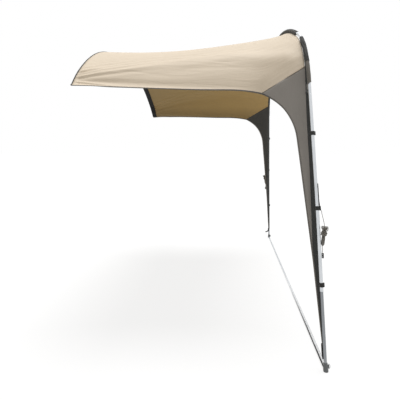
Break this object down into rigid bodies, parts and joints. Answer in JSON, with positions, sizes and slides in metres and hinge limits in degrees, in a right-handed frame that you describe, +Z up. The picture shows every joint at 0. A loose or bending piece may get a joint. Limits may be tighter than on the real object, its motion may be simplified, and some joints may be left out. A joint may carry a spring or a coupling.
{
  "type": "caravan canopy",
  "caption": "Sun canopy for a caravan awning: a curved cloth roof with leg gussets on a bent tube hoop with telescopic legs and a bar along the ground between the feet.",
  "frame": {"origin": "on the ground, under the middle of the canopy's bounding box (cords left out)", "axes": "+X to the right as seen from the caravan or tent, along the hoop's span; +Y from the hoop towards the caravan or tent; +Z up"},
  "size_m": [3.0296, 1.6796, 2.3334],
  "materials": {
    "roof_cloth": "coated polyester, matt",
    "gusset_cloth": "coated polyester, matt",
    "charcoal_webbing": "woven, matt",
    "charcoal_sleeve": "matt",
    "grey_sleeve": "matt",
    "binding_tape": "woven, matt",
    "light_webbing": "woven, matt",
    "guy_cord": "braided, matt",
    "alloy_tube": "anodised, satin",
    "zinc_steel": "zinc plated",
    "moulded_plastic": "matt"
  },
  "bodies": {
    "canopy": {"roof_sheet": "roof_cloth", "rear_attachment_band": "charcoal_webbing", "rear_keder_bead": "charcoal_webbing", "crown_pole": "alloy_tube", "crown_sleeve": "charcoal_sleeve", "left_crown_spigot": "zinc_steel", "left_leg_spigot": "zinc_steel", "left_elbow_pole": "alloy_tube", "left_leg_upper_tube": "alloy_tube", "left_band_buckle": "moulded_plastic", "left_guy_runner": "moulded_plastic", "left_elbow_sleeve": "charcoal_sleeve", "left_shoulder_sleeve": "grey_sleeve", "left_leg_gusset": "gusset_cloth", "left_pole_band": "charcoal_webbing", "left_edge_binding": "binding_tape", "left_pole_tie_1": "charcoal_webbing", "left_pole_tie_2": "charcoal_webbing", "left_pole_tie_3": "charcoal_webbing", "left_guy_tape": "charcoal_webbing", "left_foot_strap": "charcoal_webbing", "left_band_strap": "light_webbing", "left_guy_hank": "guy_cord", "left_guy_line_upper": "guy_cord", "left_guy_line_lower": "guy_cord", "right_crown_spigot": "zinc_steel", "right_leg_spigot": "zinc_steel", "right_elbow_pole": "alloy_tube", "right_leg_upper_tube": "alloy_tube", "right_band_buckle": "moulded_plastic", "right_guy_runner": "moulded_plastic", "right_elbow_sleeve": "charcoal_sleeve", "right_shoulder_sleeve": "grey_sleeve", "right_leg_gusset": "gusset_cloth", "right_pole_band": "charcoal_webbing", "right_edge_binding": "binding_tape", "right_pole_tie_1": "charcoal_webbing", "right_pole_tie_2": "charcoal_webbing", "right_pole_tie_3": "charcoal_webbing", "right_guy_tape": "charcoal_webbing", "right_foot_strap": "charcoal_webbing", "right_band_strap": "light_webbing", "right_guy_hank": "guy_cord", "right_guy_line_upper": "guy_cord", "right_guy_line_lower": "guy_cord"},
    "left_leg": {"left_leg_lower_tube": "alloy_tube", "left_ground_bar": "alloy_tube", "left_foot": "moulded_plastic", "left_lock_core": "moulded_plastic"},
    "right_leg": {"right_leg_lower_tube": "alloy_tube", "right_ground_bar": "alloy_tube", "right_foot": "moulded_plastic", "right_lock_core": "moulded_plastic"},
    "left_lock": {"left_lock_ring": "moulded_plastic"},
    "right_lock": {"right_lock_ring": "moulded_plastic"},
    "left_ring": {"left_peg_ring": "zinc_steel"},
    "right_ring": {"right_peg_ring": "zinc_steel"}
  },
  "joints": [
    {"name": "left_leg_slide", "type": "slide", "parent": "canopy", "child": "left_leg", "axis": [-0.1319, -0.0193, -0.9911], "range_m": [-0.03, 0.14]},
    {"name": "right_leg_slide", "type": "slide", "parent": "canopy", "child": "right_leg", "axis": [0.1319, -0.0193, -0.9911], "range_m": [-0.03, 0.14]},
    {"name": "left_lock_turn", "type": "hinge", "parent": "left_leg", "child": "left_lock", "pos_m": [-1.41374, -0.7998, 0.65118], "axis": [0.1319, 0.0193, 0.9911], "range_deg": [0, 180]},
    {"name": "right_lock_turn", "type": "hinge", "parent": "right_leg", "child": "right_lock", "pos_m": [1.41374, -0.7998, 0.65118], "axis": [-0.1319, 0.0193, 0.9911], "range_deg": [0, 180]},
    {"name": "left_peg_ring_swing", "type": "hinge", "parent": "left_leg", "child": "left_ring", "pos_m": [-1.49744, -0.82848, 0.027], "axis": [0, 0, 1], "range_deg": [-70, 70]},
    {"name": "right_peg_ring_swing", "type": "hinge", "parent": "right_leg", "child": "right_ring", "pos_m": [1.49744, -0.82848, 0.027], "axis": [0, 0, 1], "range_deg": [-70, 70]}
  ],
  "couplings": [
    {"joint": "right_leg_slide", "follows": "left_leg_slide", "ratio": 1}
  ]
}
